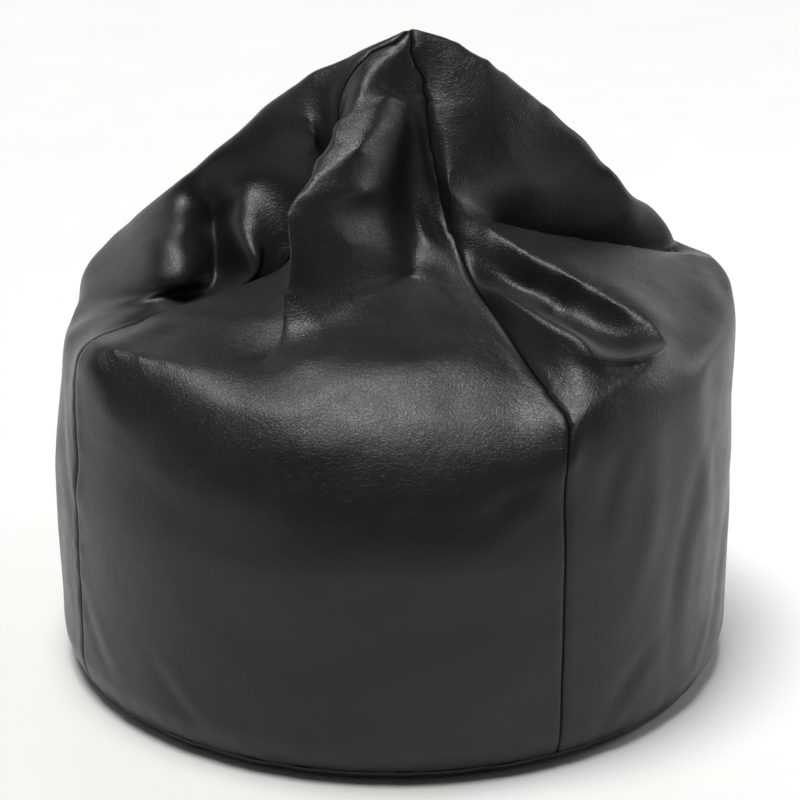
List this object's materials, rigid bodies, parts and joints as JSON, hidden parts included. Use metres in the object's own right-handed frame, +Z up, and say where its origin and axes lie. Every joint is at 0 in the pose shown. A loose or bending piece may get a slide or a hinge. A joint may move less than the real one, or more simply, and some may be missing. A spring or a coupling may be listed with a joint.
{
  "type": "bean bag chair",
  "caption": "Slumped leatherette bean bag chair: gored cover gathered to a tip, round base, rear zip, and a zipped inner liner full of loose beads.",
  "frame": {"origin": "centre of the flat base, on the floor", "axes": "+Z up; the sitter faces -Y, with the gathered tip as the back rest at +Y; +X is to the right seen from the front"},
  "size_m": [0.8588, 0.8588, 0.78],
  "materials": {
    "leatherette": "soft satin, fine creased grain",
    "base_cloth": "satin, coarse grain",
    "thread": "bonded polyester",
    "zip_tape": "woven herringbone tape",
    "zip_coil": "nylon coil",
    "zip_metal": "black lacquer, worn at the edges",
    "liner_cloth": "thin woven polyester",
    "liner_zip": "white nylon coil",
    "beads": "expanded polystyrene beads"
  },
  "bodies": {
    "bag": {"front_panel": "leatherette", "right_panel": "leatherette", "rear_panel": "leatherette", "left_panel": "leatherette", "base_panel": "base_cloth", "side_seam_thread": "thread", "base_seam_thread": "thread", "zip_tape_left": "zip_tape", "zip_tape_right": "zip_tape", "zip_coil_left": "zip_coil", "zip_coil_right": "zip_coil", "zip_closed_stops": "zip_metal", "zip_open_stop": "zip_metal", "liner_left": "liner_cloth", "liner_right": "liner_cloth", "liner_base": "liner_cloth", "liner_tape_left": "liner_cloth", "liner_tape_right": "liner_cloth", "liner_coil_left": "liner_zip", "liner_coil_right": "liner_zip", "liner_closed_stops": "zip_metal", "liner_open_stop": "zip_metal", "bead_fill": "beads"},
    "zip_slider": {"zip_slider": "zip_metal"},
    "liner_slider": {"liner_slider": "zip_metal"}
  },
  "joints": [
    {"name": "zip_slide", "type": "slide", "parent": "bag", "child": "zip_slider", "axis": [0, 0, 1], "range_m": [0, 0.313]},
    {"name": "liner_zip_slide", "type": "slide", "parent": "bag", "child": "liner_slider", "axis": [0, 0, 1], "range_m": [0, 0.313]}
  ]
}
